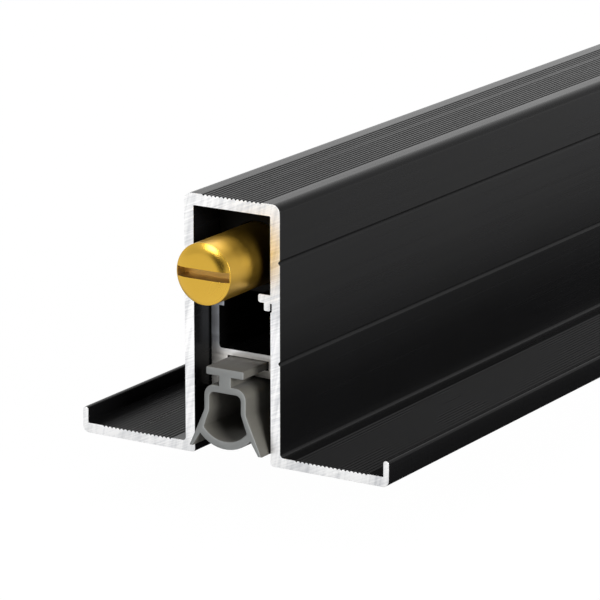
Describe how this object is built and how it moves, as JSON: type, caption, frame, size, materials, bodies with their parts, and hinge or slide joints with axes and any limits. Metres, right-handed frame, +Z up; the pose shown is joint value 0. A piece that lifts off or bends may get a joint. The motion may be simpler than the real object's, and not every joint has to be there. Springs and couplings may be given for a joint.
{
  "type": "automatic door bottom seal",
  "caption": "Top-hat aluminium housing with ribbed flanges; pushing the slotted brass plunger swings inner levers that lower a rubber bulb seal out of its open underside.",
  "frame": {"origin": "under the middle of the whole seal, on the plane of the flanges' undersides", "axes": "+X across the housing, +Y along it from the plunger's end to the far end, +Z up"},
  "size_m": [0.046, 0.3386, 0.034],
  "materials": {
    "black_anodised": "satin",
    "brass": "satin",
    "grey_rubber": "matte",
    "zinc_steel": "satin",
    "spring_steel": "satin",
    "black_nylon": "matte"
  },
  "bodies": {
    "housing": {"housing": "black_anodised", "plunger_guide": "black_nylon", "front_bracket": "black_nylon", "rear_bracket": "black_nylon", "front_pivot_pin": "zinc_steel", "rear_pivot_pin": "zinc_steel", "bracket_screws": "zinc_steel", "return_spring": "spring_steel"},
    "push_rod": {"push_rod": "zinc_steel", "lock_nut": "zinc_steel", "spring_washer": "zinc_steel", "spring_clip": "spring_steel", "stop_clip": "spring_steel", "front_drive_pin": "zinc_steel", "rear_drive_pin": "zinc_steel"},
    "plunger": {"plunger": "brass"},
    "front_lever": {"front_lever_left": "zinc_steel", "front_lever_right": "zinc_steel", "front_lift_pin": "zinc_steel"},
    "rear_lever": {"rear_lever_left": "zinc_steel", "rear_lever_right": "zinc_steel", "rear_lift_pin": "zinc_steel"},
    "carrier": {"seal_carrier": "black_anodised", "door_seal": "grey_rubber", "front_saddle": "black_nylon", "rear_saddle": "black_nylon", "front_saddle_pin": "zinc_steel", "rear_saddle_pin": "zinc_steel"}
  },
  "joints": [
    {"name": "plunger_slide", "type": "slide", "parent": "housing", "child": "push_rod", "axis": [0, 1, 0], "range_m": [0, 0.006], "stiffness_N_per_m": 400, "springref_m": -0.01, "deforming": ["return_spring"]},
    {"name": "plunger_turn", "type": "hinge", "parent": "push_rod", "child": "plunger", "pos_m": [0, -0.16245, 0.0257], "axis": [0, 1, 0], "continuous": true},
    {"name": "carrier_drop", "type": "slide", "parent": "housing", "child": "carrier", "axis": [0, 0, -1], "range_m": [0, 0.01]},
    {"name": "front_lever_swing", "type": "hinge", "parent": "housing", "child": "front_lever", "pos_m": [0, -0.03045, 0.0157], "axis": [-1, 0, 0], "range_deg": [0, 33.4]},
    {"name": "rear_lever_swing", "type": "hinge", "parent": "housing", "child": "rear_lever", "pos_m": [0, 0.05355, 0.0157], "axis": [-1, 0, 0], "range_deg": [0, 33.4]}
  ],
  "couplings": [
    {"joint": "carrier_drop", "follows": "plunger_slide", "ratio": 1.6667},
    {"joint": "front_lever_swing", "follows": "plunger_slide", "rad_per_m": 97.152},
    {"joint": "rear_lever_swing", "follows": "plunger_slide", "rad_per_m": 97.152}
  ]
}
